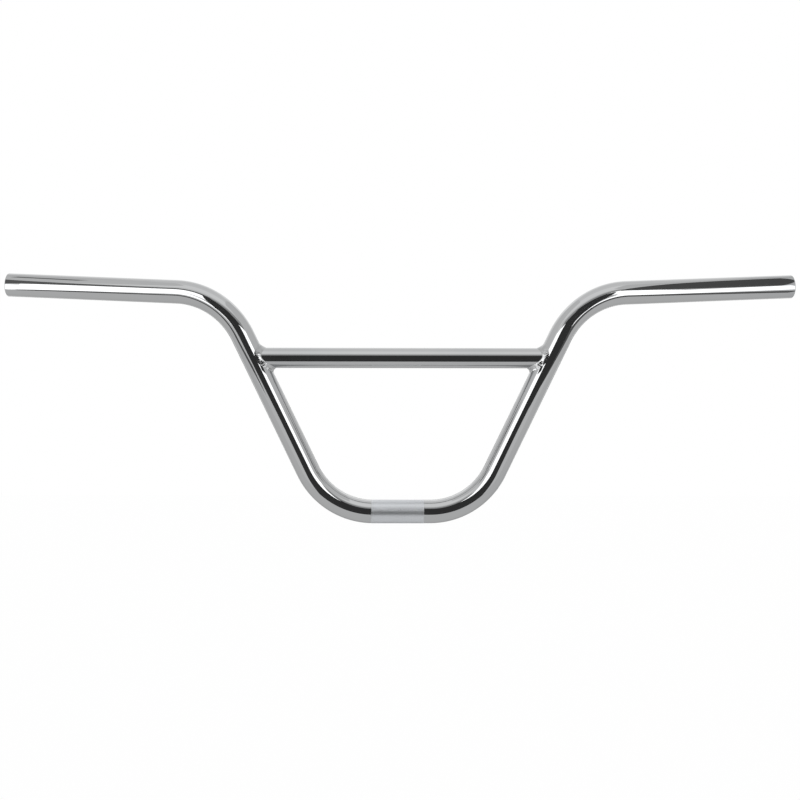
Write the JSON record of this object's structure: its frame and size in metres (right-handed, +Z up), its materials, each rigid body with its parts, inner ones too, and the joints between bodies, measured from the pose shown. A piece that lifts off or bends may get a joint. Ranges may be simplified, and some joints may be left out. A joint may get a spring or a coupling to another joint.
{
  "type": "bicycle handlebar",
  "caption": "Chrome-plated high-rise bicycle handlebar: a bent steel tube with a knurled stem clamp area, open grip ends and a straight crossbar welded between its risers.",
  "frame": {"origin": "on the axis of the stem clamp area, midway between the two lower bends", "axes": "+X along the clamp's axis to the rider's left, +Y back towards the rider, +Z up; the clamp, risers and crossbar lie in the XZ plane, and left and right in names are the rider's"},
  "size_m": [0.758, 0.0624, 0.2372],
  "materials": {
    "chrome_tube": "bright chrome plate over polished steel tube",
    "chrome_weld": "chrome plate over an unpolished weld bead"
  },
  "bodies": {
    "root": {"main_tube": "chrome_tube", "crossbar": "chrome_tube", "crossbar_welds": "chrome_weld"}
  },
  "joints": []
}
